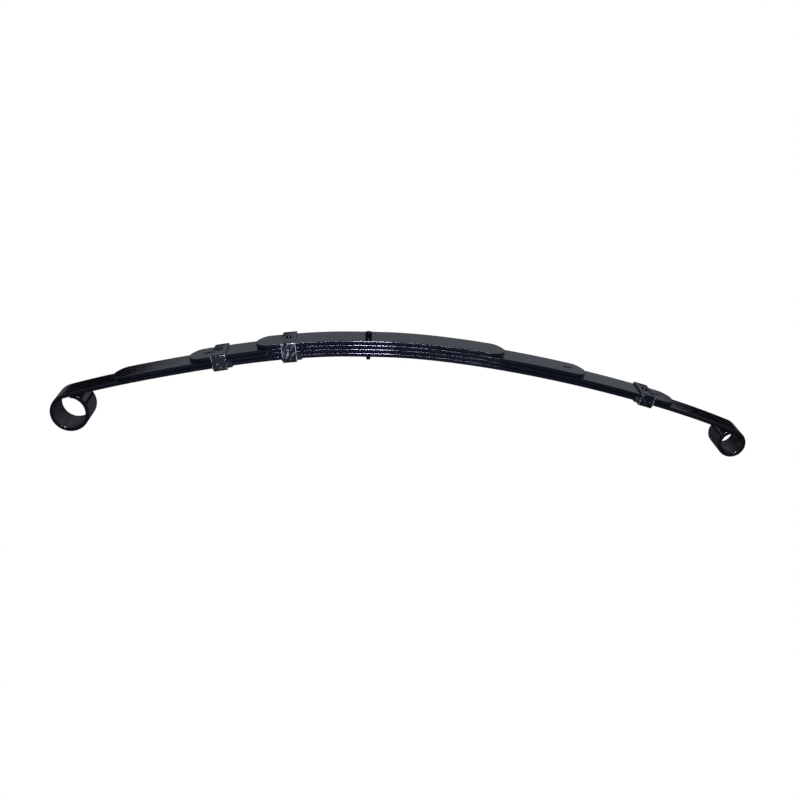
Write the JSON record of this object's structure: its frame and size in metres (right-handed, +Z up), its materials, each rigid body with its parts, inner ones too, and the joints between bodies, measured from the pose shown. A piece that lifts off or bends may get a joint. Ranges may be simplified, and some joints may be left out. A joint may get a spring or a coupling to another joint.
{
  "type": "leaf spring",
  "caption": "Graduated leaf spring for a light truck rear axle: black arched leaves held by a centre bolt and riveted rebound clips, with a rolled eye at each end.",
  "frame": {"origin": "on the surface it stands on, below the middle of its box, midway across the leaves", "axes": "+X along the spring towards the small rear eye, +Y across the leaves, +Z up, with the arch upwards and both eyes resting at Z 0"},
  "size_m": [1.2754, 0.0738, 0.203],
  "materials": {
    "gloss_black_paint": "gloss",
    "satin_black_steel": "satin",
    "dull_zinc": "dull",
    "black_nylon": "satin"
  },
  "bodies": {
    "spring_pack": {"main_leaf": "gloss_black_paint", "second_leaf": "gloss_black_paint", "third_leaf": "gloss_black_paint", "fourth_leaf": "gloss_black_paint", "front_second_leaf_pad": "black_nylon", "front_third_leaf_pad": "black_nylon", "rear_second_leaf_pad": "black_nylon", "rear_third_leaf_pad": "black_nylon", "centre_bolt": "satin_black_steel", "centre_bolt_nut": "dull_zinc"},
    "front_eye_end": {"front_eye": "gloss_black_paint"},
    "rear_eye_end": {"rear_eye": "gloss_black_paint"},
    "front_outer_clip_set": {"front_outer_clip": "gloss_black_paint", "front_outer_clip_liner": "black_nylon", "front_outer_clip_rivet": "satin_black_steel"},
    "front_inner_clip_set": {"front_inner_clip": "gloss_black_paint", "front_inner_clip_liner": "black_nylon", "front_inner_clip_rivet": "satin_black_steel"},
    "rear_clip_set": {"rear_clip": "gloss_black_paint", "rear_clip_liner": "black_nylon", "rear_clip_rivet": "satin_black_steel"}
  },
  "joints": [
    {"name": "front_flex", "type": "hinge", "parent": "spring_pack", "child": "front_eye_end", "pos_m": [-0.23404, 0, 0.15425], "axis": [0, 1, 0], "range_deg": [-2, 17], "stiffness_Nm_per_rad": 2800, "deforming": ["main_leaf", "second_leaf", "third_leaf", "fourth_leaf", "front_second_leaf_pad", "front_third_leaf_pad"]},
    {"name": "rear_flex", "type": "hinge", "parent": "spring_pack", "child": "rear_eye_end", "pos_m": [0.142, 0, 0.15731], "axis": [0, -1, 0], "range_deg": [-2, 18], "stiffness_Nm_per_rad": 3500, "deforming": ["main_leaf", "second_leaf", "third_leaf", "fourth_leaf", "rear_second_leaf_pad", "rear_third_leaf_pad"]},
    {"name": "front_outer_clip_ride", "type": "hinge", "parent": "spring_pack", "child": "front_outer_clip_set", "pos_m": [-0.27426, 0, 0.153], "axis": [0, 1, 0], "range_deg": [-1.7, 13.6]},
    {"name": "front_inner_clip_ride", "type": "hinge", "parent": "spring_pack", "child": "front_inner_clip_set", "pos_m": [-0.25894, 0, 0.13993], "axis": [0, 1, 0], "range_deg": [-0.2, 1.1]},
    {"name": "rear_clip_ride", "type": "hinge", "parent": "spring_pack", "child": "rear_clip_set", "pos_m": [0.25758, 0, 0.15306], "axis": [0, -1, 0], "range_deg": [-2.9, 25]}
  ],
  "couplings": [
    {"joint": "front_outer_clip_ride", "follows": "front_flex", "ratio": 0.7953},
    {"joint": "front_inner_clip_ride", "follows": "front_flex", "ratio": 0.0573},
    {"joint": "rear_clip_ride", "follows": "rear_flex", "ratio": 1.3831}
  ]
}
